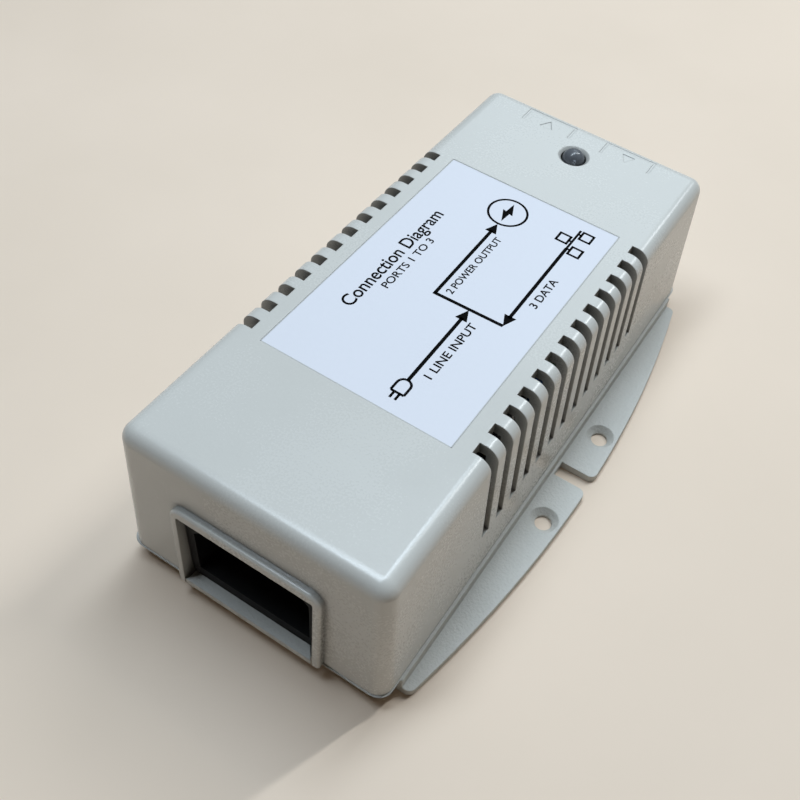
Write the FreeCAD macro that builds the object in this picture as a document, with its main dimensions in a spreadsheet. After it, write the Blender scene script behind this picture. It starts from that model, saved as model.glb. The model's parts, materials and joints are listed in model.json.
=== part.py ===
"""Desk or wall mounted power-over-cable injector: a plastic case with its electronics inside.

Model frame, in millimetres: X across the case, Y from the mains inlet end to the jack end,
Z up from the underside of the base. The case is drawn centred on X = Y = 0, and every
sub-part is then shifted along Y by the same named amount, so that the whole part, which
has a bezel standing proud at the inlet end, is centred over the origin.
"""
import FreeCAD, Part
import math
import os
import re

import Sketcher
from FreeCAD import Rotation, Vector

# ---------------------------------------------------------------------------------------
# Driving dimensions, in millimetres and degrees. They are written to the spreadsheet.
# ---------------------------------------------------------------------------------------
CASE_SIZES = {
    "case_wide": 56.3,          # cover across X at its parting line
    "case_long": 124.6,         # cover along Y at its parting line
    "base_high": 4.5,           # parting line above the underside
    "cover_high": 33.4,         # cover above the parting line
    "mould_draft": 2.1,         # lean of the cover's walls
    "case_round": 3.0,          # radius of upright corners and of the top edge
    "wall_thick": 2.5,          # cover and floor wall
    "vent_pitch": 5.0,
    "vent_count": 13,
    "vent_wide": 2.4,
    "vent_inner": 23.0,         # inner end of a slot, from the middle plane
    "vent_low": 15.2,           # lower end of a slot on the side wall
    "vent_reach": 40.0,         # how far the slot cutter runs past the wall
    "label_wide": 39.4,
    "label_long": 64.0,
    "label_x": -0.2,
    "label_y": -0.3,
    "label_gap": 0.2,
    "label_sink": 0.25,         # depth of the label's recess
    "label_thick": 0.2,
    "lamp_y": 49.4,
    "lamp_dish": 3.5,           # radius of the dish around the lamp
    "lamp_dish_deep": 0.6,
    "lamp_hole": 2.8,
    "mark_deep": 0.1,
    "mark_line": 0.55,
    "mark_edge_y": 58.6,        # outer line of the port brackets
    "mark_tick": 4.4,
    "mark_half": 6.05,          # half the width of a bracket
    "arrow_half": 1.5,
    "arrow_drop": 1.54,         # arrow's outer end, in from the bracket's outer line
    "arrow_long": 2.6,
    "port_x": 9.8,
    "boss_x": 20.9,
    "boss_y": 50.0,
    "boss_round": 2.7,
    "boss_bore": 1.5,
}
BEZEL_SIZES = {
    "bezel_half": 15.6,
    "bezel_top": 27.2,
    "bezel_proud": 1.43,
    "bezel_round": 2.6,
    "bezel_edge": 0.6,          # rounding of the bezel's front edge
    "mouth_round": 0.5,         # upper corners of the opening in the bezel
    "mouth_half": 14.1,
    "mouth_top": 25.2,
    "sill_top": 5.9,
    "sill_gap": 0.2,
    "sill_step": 0.05,          # sill's front, back from the bezel's face
    "mouth_gap": 1.8,           # lip stops this far beyond the inlet opening
    "sill_deep": 4.2,
    "sill_cut": 4.4,            # sill's ends slant inwards by this much
    "jack_mouth_half": 8.2,
    "jack_mouth_top": 19.2,
    "jack_sill_top": 5.6,
}
BASE_SIZES = {
    "base_ledge": 0.25,         # base beyond the cover, all round
    "base_lean": 18.0,          # inward slope of the base's ends below the parting line
    "rail_half": 28.8,          # half width of the base along its flanges
    "flange_half": 36.95,       # half width over the flanges at mid length
    "flange_end": 57.4,
    "flange_arc": 265.0,
    "flange_thick": 1.8,
    "flange_corner": 1.5,
    "notch_wide": 3.7,
    "notch_floor": 29.4,
    "notch_round": 1.5,
    "mount_span_x": 66.0,
    "mount_span_y": 25.4,
    "mount_hole": 3.5,
    "mount_sink": 6.0,
    "mount_sink_angle": 90.0,
    "lip_gap": 0.3,
    "lip_thick": 1.5,
    "lip_high": 2.0,
    "post_round": 3.0,
    "post_bore": 1.3,
    "post_floor": 0.9,
    "seat_round": 3.3,
    "seat_top": 4.2,
    "screw_sink_round": 3.1,
    "screw_sink_deep": 2.2,
    "screw_clear": 1.7,
}
BOARD_SIZES = {
    "board_low": 4.1,
    "board_thick": 1.6,
    "board_wide": 46.0,
    "board_long": 114.0,
    "board_cut_x": 17.4,        # corner cut-outs around the cover's bosses
    "board_cut_y": 46.3,
    "board_screw_x": 20.0,
    "board_screw_y": 42.6,
    "board_hole": 1.5,
    "sheet_thick": 0.4,
    "sheet_gap": 0.6,           # extra room around the screw seats
    "sheet_hole": 4.2,
    "screw_head_round": 2.7,
    "screw_head_high": 1.9,
    "screw_shank": 1.35,
    "screw_long": 12.0,
    "small_head_round": 2.4,
    "small_head_high": 1.7,
    "small_shank": 1.1,
    "small_long": 4.4,
    "drive_wide": 0.9,
    "drive_long": 3.0,
    "drive_deep": 0.9,
}
INLET_SIZES = {
    "inlet_front": -61.45,
    "inlet_back": -40.5,
    "inlet_half": 13.8,
    "inlet_low": 5.9,
    "inlet_top": 25.0,
    "inlet_bevel": 3.0,         # upper outer corners of the housing
    "well_half": 12.1,
    "well_low": 8.7,
    "well_top": 24.2,
    "well_deep": 16.5,
    "well_bevel": 4.2,
    "well_round": 1.5,
    "pin_x": 7.0,
    "pin_low": 12.4,
    "pin_high": 4.0,
    "pin_thick": 2.0,
    "pin_rise": 4.1,            # earth pin above the line pins
    "pin_tip": 4.4,             # live pin tip behind the inlet's face
    "earth_tip": 2.4,           # earth pin tip behind the inlet's face
    "pin_tail": 2.6,            # pin beyond the back of the housing
    "pin_leg_gap": 0.87,        # leg of a pin behind the back of the housing
    "pin_nose": 0.6,
}
JACK_SIZES = {
    "jack_front": 62.0,
    "jack_long": 16.4,
    "jack_half": 8.0,
    "jack_low": 5.7,
    "jack_top": 18.9,
    "shield_thick": 0.3,
    "shield_gap": 0.05,
    "port_half": 5.95,
    "port_low": 8.0,
    "port_top": 14.9,
    "port_deep": 13.6,
    "latch_half": 3.2,
    "latch_top": 16.6,
    "latch_tip_half": 1.8,
    "latch_tip_top": 17.8,
    "latch_deep": 9.0,
    "comb_half": 4.4,
    "comb_front": 1.7,
    "wire_pitch": 1.02,
    "wire_count": 8,
    "wire_wide": 0.42,
    "wire_thick": 0.32,
    "hinge_back": 2.6,          # hinge line behind the jack's face
    "hinge_high": 7.75,
    "spring_long": 9.2,
    "spring_lean": 16.0,
    "tail_high": 6.4,
    "tail_back": 15.6,
    "tail_gap": 0.35,
}
LAMP_SIZES = {
    "lens_round": 2.5,
    "lens_flange": 2.9,
    "lens_low": 30.8,
    "lens_flange_high": 1.0,
    "lens_top": 39.4,
    "lead_half": 1.27,
    "lead_wide": 0.45,
    "spacer_low": 18.9,
    "spacer_round": 2.4,
    "spacer_bore": 0.45,
}
PLACEMENT_SIZES = {
    "fuse_x": -17.0, "fuse_y": -33.5, "fuse_wide": 7.6, "fuse_high": 8.0,
    "disc_thick": 4.2, "leg_wide": 0.7,
    "varistor_x": -5.5, "varistor_y": -34.5, "varistor_round": 5.0,
    "thermistor_x": 1.4, "thermistor_y": -21.5, "thermistor_round": 4.4,
    "disc_lift": 1.6,
    "x_cap_x": 12.2, "x_cap_y": -33.0, "x_cap_wide": 17.5, "x_cap_deep": 8.5, "x_cap_high": 14.5,
    "choke_x": -12.2, "choke_y": -20.5, "choke_wide": 13.6, "choke_deep": 5.0, "choke_high": 17.0,
    "choke_limb": 3.6, "choke_lift": 1.0, "coil_swell": 1.6, "coil_fit": 0.1,
    "bridge_x": 13.5, "bridge_y": -22.5, "bridge_wide": 14.6, "bridge_deep": 3.6, "bridge_high": 10.6,
    "bridge_lift": 3.0, "bridge_pitch": 3.8,
    "bulk_x": 13.4, "bulk_y": -10.0, "bulk_round": 9.0, "bulk_high": 25.0,
    "can_groove": 0.5, "can_groove_low": 2.4, "can_groove_high": 1.0,
    "fin_x": -20.6, "fin_thick": 1.6, "fin_low": 6.7, "fin_high": 22.0,
    "fin_a_y": -1.0, "fin_a_long": 20.0, "fin_b_y": 31.0, "fin_b_long": 14.0, "fin_b_high": 17.0,
    "fin_fold": 4.0,
    "tab_wide": 10.0, "tab_thick": 1.3, "tab_high": 15.6, "tab_low": 9.7,
    "tab_hole": 1.7, "tab_hole_drop": 2.9,
    "chip_high": 9.0, "chip_thick": 4.4, "leg_pitch": 2.54,
    "core_x": 0.5, "core_y": 12.5, "core_wide": 25.0, "core_deep": 12.0, "core_high": 22.0,
    "core_lift": 2.5, "core_bar": 3.6, "core_limb": 3.2, "core_post": 3.5,
    "bobbin_wall": 1.0, "bobbin_deep": 21.0, "bobbin_gap": 0.2,
    "winding_swell": 4.0, "winding_deep": 5.6,
    "y_cap_x": 18.6, "y_cap_y": 6.5, "y_cap_round": 4.0,
    "opto_x": 18.2, "opto_y": 15.5, "opto_wide": 6.4, "opto_long": 4.6,
    "ctrl_x": -17.6, "ctrl_y": 16.5, "ctrl_long": 9.6,
    "dip_high": 3.4, "dip_lift": 0.5, "dip_leg_out": 0.6,
    "out_cap_x": -7.6, "out_cap_step": 11.0, "out_cap_y": 31.5, "out_cap_round": 5.0, "out_cap_high": 20.0,
    "drum_x": 15.4, "drum_y": 31.5, "drum_round": 5.5, "drum_high": 12.0,
    "drum_flange": 1.6, "drum_neck": 3.2,
    "pulse_x": 0.0, "pulse_y": 40.8, "pulse_wide": 15.0, "pulse_deep": 5.4, "pulse_high": 5.6,
    "pulse_legs": 8, "pulse_pitch": 1.27,
}
SIZES = {}
for group in (CASE_SIZES, BEZEL_SIZES, BASE_SIZES, BOARD_SIZES, INLET_SIZES, JACK_SIZES, LAMP_SIZES,
              PLACEMENT_SIZES):
    SIZES.update(group)

OUT_DIR = "parts"
TINY = 1e-4
LONG_EDGE = 1.0                 # shortest edge that counts as running along an axis
START, END, MIDDLE = 1, 2, 3    # points of a sketched line, arc or circle
ALONG_X = Rotation(Vector(0, 1, 0), 90)
ALONG_Y = Rotation(Vector(1, 0, 0), -90)
UPRIGHT = Rotation()
HALF_TURN = math.pi
DEGREE = math.pi / 180

os.makedirs(OUT_DIR, exist_ok=True)
doc = FreeCAD.newDocument("injector")
sheet = doc.addObject("Spreadsheet::Sheet", "dims")
for line, (alias, value) in enumerate(SIZES.items(), start=1):
    sheet.set("A%d" % line, alias)
    sheet.set("B%d" % line, str(value))
    sheet.setAlias("B%d" % line, alias)
doc.recompute()

finished = []


# ---------------------------------------------------------------------------------------
# Helpers
# ---------------------------------------------------------------------------------------
def linked(formula):
    """Turn 'case_wide / 2' into 'dims.case_wide / 2'; numbers pass through."""
    return re.sub(r"[a-z][a-z0-9_]*", lambda m: "dims." + m[0] if m[0] in SIZES else m[0], str(formula))


def bind(thing, prop, formula):
    thing.setExpression(prop, linked(formula))


def place(thing, x, y, z, turn=UPRIGHT):
    thing.Placement = FreeCAD.Placement(Vector(), turn)
    bind(thing, "Placement.Base.x", x)
    bind(thing, "Placement.Base.y", y)
    bind(thing, "Placement.Base.z", z)


def block(x, y, z, wide, deep, high):
    """Box centred on x and y, standing on z."""
    box = doc.addObject("Part::Box", "block")
    bind(box, "Length", wide)
    bind(box, "Width", deep)
    bind(box, "Height", high)
    place(box, "(%s) - (%s) / 2" % (x, wide), "(%s) - (%s) / 2" % (y, deep), z)
    return box


def rod(x, y, z, radius, length, turn=UPRIGHT):
    """Cylinder whose foot is at x, y, z."""
    cylinder = doc.addObject("Part::Cylinder", "rod")
    bind(cylinder, "Radius", radius)
    bind(cylinder, "Height", length)
    place(cylinder, x, y, z, turn)
    return cylinder


def join(*pieces):
    if len(pieces) == 1:
        single = doc.addObject("Part::Refine", "single")
        single.Source = pieces[0]
        return single
    union = doc.addObject("Part::MultiFuse", "join")
    union.Shapes = list(pieces)
    return union


def carve(stock, *tools):
    """Cut tools out of stock; the tools run well past it wherever they go right through."""
    cut = doc.addObject("Part::Cut", "carve")
    cut.Base = stock
    cut.Tool = tools[0] if len(tools) == 1 else join(*tools)
    return cut


def finish(thing, label):
    """Name a sub-part, shift it with the whole part and list it for export."""
    thing.Label = label
    bind(thing, "Placement.Base.y", "(bezel_proud - base_ledge) / 2")
    finished.append(thing)


def new_body(name):
    return doc.addObject("PartDesign::Body", name)


def sketch_on(body, role, offset="0"):
    plane = [feature for feature in body.Origin.OriginFeatures if feature.Role == role][0]
    sketch = body.newObject("Sketcher::SketchObject", "sketch")
    sketch.AttachmentSupport = [(plane, "")]
    sketch.MapMode = "FlatFace"
    bind(sketch, "AttachmentOffset.Base.z", offset)
    return sketch


def pin_point(sketch, geometry, end, x, y, guess):
    """Tie one end of a line to x and y measured from the sketch origin."""
    for kind, formula, value in (("DistanceX", x, guess.x), ("DistanceY", y, guess.y)):
        number = sketch.addConstraint(Sketcher.Constraint(kind, -1, START, geometry, end, value))
        title = "%s_%d" % (kind, number)
        sketch.renameConstraint(number, title)
        bind(sketch, "Constraints." + title, formula)


def value_of(formula):
    """Number that a formula gives now, used to start a sketch near its answer."""
    return float(sheet.evalExpression(linked(formula)))


def polygon(sketch, corners):
    """Closed outline through corners given as pairs of formulas."""
    guesses = [Vector(value_of(x), value_of(y), 0) for x, y in corners]
    first = sketch.GeometryCount
    count = len(corners)
    for index in range(count):
        sketch.addGeometry(Part.LineSegment(guesses[index], guesses[(index + 1) % count]), False)
    for index in range(count):
        following = first + (index + 1) % count
        sketch.addConstraint(Sketcher.Constraint("Coincident", first + index, END, following, START))
    for index, (x, y) in enumerate(corners):
        pin_point(sketch, first + index, START, x, y, guesses[index])


def rectangle(sketch, x0, y0, x1, y1):
    polygon(sketch, [(x0, y0), (x1, y0), (x1, y1), (x0, y1)])


def circle(sketch, x, y, radius):
    centre = Vector(value_of(x), value_of(y), 0)
    number = sketch.addGeometry(Part.Circle(centre, Vector(0, 0, 1), value_of(radius)), False)
    pin_point(sketch, number, MIDDLE, x, y, centre)
    size = sketch.addConstraint(Sketcher.Constraint("Radius", number, value_of(radius)))
    title = "radius_%d" % size
    sketch.renameConstraint(size, title)
    bind(sketch, "Constraints." + title, radius)


def pad(body, sketch, length, down=False, middle=False):
    feature = body.newObject("PartDesign::Pad", "pad")
    feature.Profile = sketch
    bind(feature, "Length", length)
    feature.Reversed = down
    feature.Midplane = middle
    return feature


def pocket(body, sketch, length, up=False, middle=False):
    """Cut along the sketch's normal when up is set, against it otherwise."""
    feature = body.newObject("PartDesign::Pocket", "pocket")
    feature.Profile = sketch
    bind(feature, "Length", length)
    feature.Reversed = up
    feature.Midplane = middle
    return feature


def soften(body, base, radius, test):
    """Round every edge of the body so far that passes the test."""
    doc.recompute()
    names = ["Edge%d" % number for number, edge in enumerate(base.Shape.Edges, start=1) if test(edge)]
    feature = body.newObject("PartDesign::Fillet", "fillet")
    feature.Base = (base, names)
    bind(feature, "Radius", radius)
    return feature


def is_upright(edge):
    low, high = edge.Vertexes[0].Point, edge.Vertexes[-1].Point
    flat_run = Vector(high.x - low.x, high.y - low.y, 0).Length
    return abs(high.z - low.z) > LONG_EDGE and flat_run < abs(high.z - low.z)


def at_height(edge, height):
    return all(abs(vertex.Z - height) < TINY for vertex in edge.Vertexes)


# ---------------------------------------------------------------------------------------
# Cover: drafted shell with vent slots, label recess, lamp dish, port marks and inlet bezel
# ---------------------------------------------------------------------------------------
def drafted_block(body, inset, length, cut=False):
    sketch = sketch_on(body, "XY_Plane", "base_high")
    half_x = "(case_wide / 2 - %s)" % inset
    half_y = "(case_long / 2 - %s)" % inset
    rectangle(sketch, "-" + half_x, "-" + half_y, half_x, half_y)
    if cut:
        feature = pocket(body, sketch, length, up=True)
    else:
        feature = pad(body, sketch, length)
    bind(feature, "TaperAngle", "-mould_draft")
    return feature


def port_marks(body):
    """Engraved bracket over each jack, with an arrow into one port and out of the other."""
    sketch = sketch_on(body, "XY_Plane", "base_high + cover_high")
    for middle, inward in (("port_x", True), ("(-port_x)", False)):
        low, high = "(%s - mark_half)" % middle, "(%s + mark_half)" % middle
        edge, foot = "mark_edge_y", "(mark_edge_y - mark_tick)"
        inner_low, inner_high, inner_edge = low + " + mark_line", high + " - mark_line", edge + " - mark_line"
        polygon(sketch, [
            (low, edge), (low, foot), (inner_low, foot), (inner_low, inner_edge),
            (inner_high, inner_edge), (inner_high, foot), (high, foot), (high, edge),
        ])
        near, far = "(mark_edge_y - arrow_drop)", "(mark_edge_y - arrow_drop - arrow_long)"
        back, tip = (near, far) if inward else (far, near)
        left, right = "%s - arrow_half" % middle, "%s + arrow_half" % middle
        polygon(sketch, [(left, back), (right, back), (middle, tip)])
    return pocket(body, sketch, "mark_deep")


def make_cover():
    """Drafted shell with vent slots, label recess, lamp dish, port marks and inlet bezel."""
    body = new_body("cover")
    outer = drafted_block(body, "0", "cover_high")
    doc.recompute()
    top = outer.Shape.BoundBox.ZMax
    soften(body, outer, "case_round", lambda edge: is_upright(edge) or at_height(edge, top))
    add_bezel(body)
    drafted_block(body, "wall_thick", "cover_high - wall_thick", cut=True)
    cut_mouths(body)

    bosses = sketch_on(body, "XY_Plane", "base_high")
    bores = sketch_on(body, "XY_Plane", "base_high")
    for x, y in four_corners("boss_x", "boss_y"):
        circle(bosses, x, y, "boss_round")
        circle(bores, x, y, "boss_bore")
    pad(body, bosses, "cover_high - wall_thick / 2")
    pocket(body, bores, "screw_long", up=True)

    cut_top(body)
    cut_vents(body)
    finish(body, "top_cover")


def add_bezel(body):
    """Frame around the mains inlet, parallel to the drafted end wall."""
    front = "(-case_long / 2 - bezel_proud)"
    inner = "(-case_long / 2 + wall_thick)"
    lean_back = "(bezel_top - base_high) * tan(mould_draft)"
    side = sketch_on(body, "YZ_Plane")
    polygon(side, [
        (front, "base_high"),
        (inner, "base_high"),
        (inner, "bezel_top"),
        (front + " + " + lean_back, "bezel_top"),
    ])
    frame = pad(body, side, "bezel_half * 2", middle=True)
    half = value_of("bezel_half")
    top = value_of("bezel_top")

    def is_shoulder(edge):
        ends = [vertex.Point for vertex in edge.Vertexes]
        at_corner = all(abs(abs(p.x) - half) < TINY and abs(p.z - top) < TINY for p in ends)
        return at_corner and ends[0].y != ends[-1].y

    rounded = soften(body, frame, "bezel_round", is_shoulder)
    foot_y = value_of(front)
    foot = value_of("base_high")
    lean = value_of("tan(mould_draft)")

    def is_front_rim(edge):
        """True on the bezel's front face, except along its open foot."""
        points = [edge.valueAt(edge.FirstParameter), edge.valueAt(edge.LastParameter)]
        in_face = all(abs(p.y - foot_y - (p.z - foot) * lean) < TINY for p in points)
        in_frame = all(abs(p.x) < half + TINY for p in points)
        return in_face and in_frame and any(p.z > foot + TINY for p in points)

    soften(body, rounded, "bezel_edge", is_front_rim)


def cut_mouths(body):
    """Openings in the end walls, left open below so that the cover lifts off."""
    inlet = sketch_on(body, "XZ_Plane", "case_long / 2 + bezel_proud * 2")
    rectangle(inlet, "-mouth_half", "base_high - wall_thick", "mouth_half", "mouth_top")
    mouth = pocket(body, inlet, "bezel_proud * 2 + wall_thick * 2")
    half, top = value_of("mouth_half"), value_of("mouth_top")

    def is_mouth_corner(edge):
        low, high = edge.Vertexes[0], edge.Vertexes[-1]
        at_corner = all(abs(abs(point.X) - half) < TINY and abs(point.Z - top) < TINY
                        for point in (low, high))
        return at_corner and abs(low.X - high.X) < TINY

    soften(body, mouth, "mouth_round", is_mouth_corner)
    jacks = sketch_on(body, "XZ_Plane", "-case_long / 2 - wall_thick")
    for middle in ("port_x", "(-port_x)"):
        rectangle(jacks, middle + " - jack_mouth_half", "base_high - wall_thick",
                  middle + " + jack_mouth_half", "jack_mouth_top")
    pocket(body, jacks, "wall_thick * 3", up=True)


def cut_top(body):
    """Label recess, engraved port marks and the dish around the lamp."""
    top = "base_high + cover_high"
    label = sketch_on(body, "XY_Plane", top)
    rectangle(label, "label_x - label_wide / 2 - label_gap", "label_y - label_long / 2 - label_gap",
              "label_x + label_wide / 2 + label_gap", "label_y + label_long / 2 + label_gap")
    pocket(body, label, "label_sink")
    port_marks(body)
    dish = sketch_on(body, "XZ_Plane", "-lamp_y")
    polygon(dish, [
        ("0", top + " + wall_thick"),
        ("lamp_dish", top + " + wall_thick"),
        ("lamp_dish", top),
        ("lamp_hole", top + " - lamp_dish_deep"),
        ("lamp_hole", top + " - wall_thick * 2"),
        ("0", top + " - wall_thick * 2"),
    ])
    groove = body.newObject("PartDesign::Groove", "groove")
    groove.Profile = dish
    groove.ReferenceAxis = (dish, ["V_Axis"])


def cut_vents(body):
    """Row of slots that wrap from the top over the rounded edge and down each side."""
    slots = sketch_on(body, "XZ_Plane", "vent_pitch * (vent_count - 1) / 2")
    for inner, outer in (("vent_inner", "vent_reach"), ("-vent_inner", "-vent_reach")):
        rectangle(slots, inner, "vent_low", outer, "vent_reach")
    first = pocket(body, slots, "vent_wide", middle=True)
    doc.recompute()
    row = body.newObject("PartDesign::LinearPattern", "row")
    row.Originals = [first]
    axis = [feature for feature in body.Origin.OriginFeatures if feature.Role == "Y_Axis"][0]
    row.Direction = (axis, [""])
    bind(row, "Length", "vent_pitch * (vent_count - 1)")
    bind(row, "Occurrences", "vent_count")
    body.Tip = row


def four_corners(x, y):
    """The point x, y and its mirror images in both middle planes."""
    return [("%s(%s)" % (sign_x, x), "%s(%s)" % (sign_y, y)) for sign_x in ("", "-") for sign_y in ("", "-")]


# ---------------------------------------------------------------------------------------
# Base tray: floor, flanges with mounting holes, lip, sills and screw posts
# ---------------------------------------------------------------------------------------
def make_base():
    body = new_body("base")
    outline = sketch_on(body, "XY_Plane", "base_high")
    edge_x, edge_y = "(case_wide / 2 + base_ledge)", "(case_long / 2 + base_ledge)"
    rectangle(outline, "-" + edge_x, "-" + edge_y, edge_x, edge_y)
    plate = pad(body, outline, "base_high", down=True)
    bind(plate, "TaperAngle", "-base_lean")
    soften(body, plate, "case_round", is_upright)
    rails = sketch_on(body, "XY_Plane")
    rectangle(rails, "-rail_half", "-flange_end", "rail_half", "flange_end")
    pad(body, rails, "base_high")
    add_flanges(body)
    hollow_base(body)
    add_sills(body)
    add_posts(body)
    drill_flanges(body)
    finish(body, "base_tray")


def add_flanges(body):
    """Side flanges whose outer edges are long arcs, each with a notch at its middle."""
    outline = sketch_on(body, "XY_Plane")
    reach = value_of("asin(flange_end / flange_arc)")
    turn = reach * DEGREE
    arc_middle = value_of("flange_half - flange_arc")
    end_x = value_of("flange_half - flange_arc * (1 - cos(asin(flange_end / flange_arc)))")
    end_y = value_of("flange_end")
    radius = value_of("flange_arc")
    up = Vector(0, 0, 1)
    right = Part.Circle(Vector(arc_middle, 0, 0), up, radius)
    left = Part.Circle(Vector(-arc_middle, 0, 0), up, radius)
    outline.addGeometry(Part.LineSegment(Vector(-end_x, -end_y, 0), Vector(end_x, -end_y, 0)), False)
    outline.addGeometry(Part.ArcOfCircle(right, -turn, turn), False)
    outline.addGeometry(Part.LineSegment(Vector(end_x, end_y, 0), Vector(-end_x, end_y, 0)), False)
    outline.addGeometry(Part.ArcOfCircle(left, HALF_TURN - turn, HALF_TURN + turn), False)
    for first, second in ((0, 1), (1, 2), (2, 3), (3, 0)):
        outline.addConstraint(Sketcher.Constraint("Coincident", first, END, second, START))
    for number, formula in ((0, "-flange_end"), (2, "flange_end")):
        outline.addConstraint(Sketcher.Constraint("Horizontal", number))
        place_at = Sketcher.Constraint("DistanceY", -1, START, number, START, value_of(formula))
        fix = outline.addConstraint(place_at)
        outline.renameConstraint(fix, "end_%d" % number)
        bind(outline, "Constraints.end_%d" % number, formula)
    for number, formula in ((1, "flange_half - flange_arc"), (3, "flange_arc - flange_half")):
        outline.addConstraint(Sketcher.Constraint("PointOnObject", number, MIDDLE, -1))
        place_at = Sketcher.Constraint("DistanceX", -1, START, number, MIDDLE, value_of(formula))
        fix = outline.addConstraint(place_at)
        outline.renameConstraint(fix, "middle_%d" % number)
        bind(outline, "Constraints.middle_%d" % number, formula)
        bend = outline.addConstraint(Sketcher.Constraint("Radius", number, radius))
        outline.renameConstraint(bend, "bend_%d" % number)
        bind(outline, "Constraints.bend_%d" % number, "flange_arc")
    plate = pad(body, outline, "flange_thick")
    soften(body, plate, "flange_corner", lambda edge: is_upright(edge)
           and abs(abs(edge.Vertexes[0].X) - end_x) < TINY
           and abs(abs(edge.Vertexes[0].Y) - end_y) < TINY)
    notches = sketch_on(body, "XY_Plane", "flange_thick")
    for inner, outer in (("notch_floor", "vent_reach"), ("-notch_floor", "-vent_reach")):
        rectangle(notches, inner, "-notch_wide / 2", outer, "notch_wide / 2")
    cut = pocket(body, notches, "flange_thick")
    floor, side = value_of("notch_floor"), value_of("notch_wide / 2")
    soften(body, cut, "notch_round", lambda edge: is_upright(edge)
           and abs(edge.Vertexes[0].X) > floor + LONG_EDGE and abs(abs(edge.Vertexes[0].Y) - side) < TINY)


def inner_half(side, extra="0"):
    """Half size of the space inside the base's lip, across X or along Y."""
    return "(%s / 2 - wall_thick - lip_gap - lip_thick + %s)" % (side, extra)


def hollow_base(body):
    room = sketch_on(body, "XY_Plane", "base_high")
    half_x, half_y = inner_half("case_wide"), inner_half("case_long")
    rectangle(room, "-" + half_x, "-" + half_y, half_x, half_y)
    pocket(body, room, "base_high - wall_thick")
    lip = sketch_on(body, "XY_Plane", "base_high")
    rectangle(lip, "-" + half_x, "-" + half_y, half_x, half_y)
    wide_x, wide_y = inner_half("case_wide", "lip_thick"), inner_half("case_long", "lip_thick")
    rectangle(lip, "-" + wide_x, "-" + wide_y, wide_x, wide_y)
    pad(body, lip, "lip_high")
    gaps = sketch_on(body, "XY_Plane", "base_high")
    rectangle(gaps, "-mouth_half - mouth_gap", "-case_long / 2", "mouth_half + mouth_gap", "-" + half_y)
    rectangle(gaps, "-port_x - jack_mouth_half - lip_gap", half_y,
              "port_x + jack_mouth_half + lip_gap", "case_long / 2")
    pocket(body, gaps, "lip_high", up=True)


def add_sills(body):
    """Raised blocks that close the cover's openings from below."""
    sills = sketch_on(body, "XY_Plane", "base_high")
    end = "(mouth_half - sill_gap)"
    front, back = "-case_long / 2 - bezel_proud + sill_step", "-case_long / 2 + sill_deep"
    polygon(sills, [
        ("-" + end, front),
        (end, front),
        (end + " - sill_cut", back),
        ("-" + end + " + sill_cut", back),
    ])
    pad(body, sills, "sill_top - base_high")
    jack_sills = sketch_on(body, "XY_Plane", "base_high")
    for middle in ("port_x", "(-port_x)"):
        rectangle(jack_sills, middle + " - jack_mouth_half + sill_gap", "case_long / 2 - sill_deep",
                  middle + " + jack_mouth_half - sill_gap", "case_long / 2")
    pad(body, jack_sills, "jack_sill_top - base_high")


def add_posts(body):
    """Board posts and screw seats standing on the floor, with their holes."""
    posts = sketch_on(body, "XY_Plane", "wall_thick")
    seats = sketch_on(body, "XY_Plane", "wall_thick")
    bores = sketch_on(body, "XY_Plane", "board_low")
    sinks = sketch_on(body, "XY_Plane")
    holes = sketch_on(body, "XY_Plane")
    for x, y in four_corners("board_screw_x", "board_screw_y"):
        circle(posts, x, y, "post_round")
        circle(bores, x, y, "post_bore")
    for x, y in four_corners("boss_x", "boss_y"):
        circle(seats, x, y, "seat_round")
        circle(sinks, x, y, "screw_sink_round")
        circle(holes, x, y, "screw_clear")
    pad(body, posts, "board_low - wall_thick")
    pad(body, seats, "seat_top - wall_thick")
    pocket(body, bores, "board_low - post_floor")
    pocket(body, sinks, "screw_sink_deep", up=True)
    pocket(body, holes, "base_high", up=True)


def drill_flanges(body):
    """Countersunk mounting holes in the flanges."""
    centres = sketch_on(body, "XY_Plane", "flange_thick")
    for x, y in four_corners("mount_span_x / 2", "mount_span_y / 2"):
        circle(centres, x, y, "mount_hole / 2")
    doc.recompute()
    holes = body.newObject("PartDesign::Hole", "mounting_holes")
    holes.Profile = centres
    holes.DepthType = "ThroughAll"
    holes.Threaded = False
    holes.HoleCutType = "Countersink"
    bind(holes, "Diameter", "mount_hole")
    bind(holes, "HoleCutDiameter", "mount_sink")
    bind(holes, "HoleCutCountersinkAngle", "mount_sink_angle")
    body.Tip = holes


def make_screws(label, x, y, head_foot, head_round, head_high, shank, length, from_below):
    """Group of four pan head screws with crossed drive slots."""
    group = []
    for corner_x, corner_y in four_corners(x, y):
        head = rod(corner_x, corner_y, head_foot, head_round, head_high)
        if from_below:
            stem = rod(corner_x, corner_y, "%s + %s" % (head_foot, head_high), shank, length)
            slot_z = head_foot
        else:
            stem = rod(corner_x, corner_y, "%s - %s" % (head_foot, length), shank, length)
            slot_z = "%s + %s - drive_deep" % (head_foot, head_high)
        slots = [block(corner_x, corner_y, slot_z, "drive_wide", "drive_long", "drive_deep"),
                 block(corner_x, corner_y, slot_z, "drive_long", "drive_wide", "drive_deep")]
        group.append(carve(join(head, stem), *slots))
    finish(join(*group), label)


# ---------------------------------------------------------------------------------------
# Label, board and insulation sheet
# ---------------------------------------------------------------------------------------
BOARD_TOP = "(board_low + board_thick)"


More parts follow.
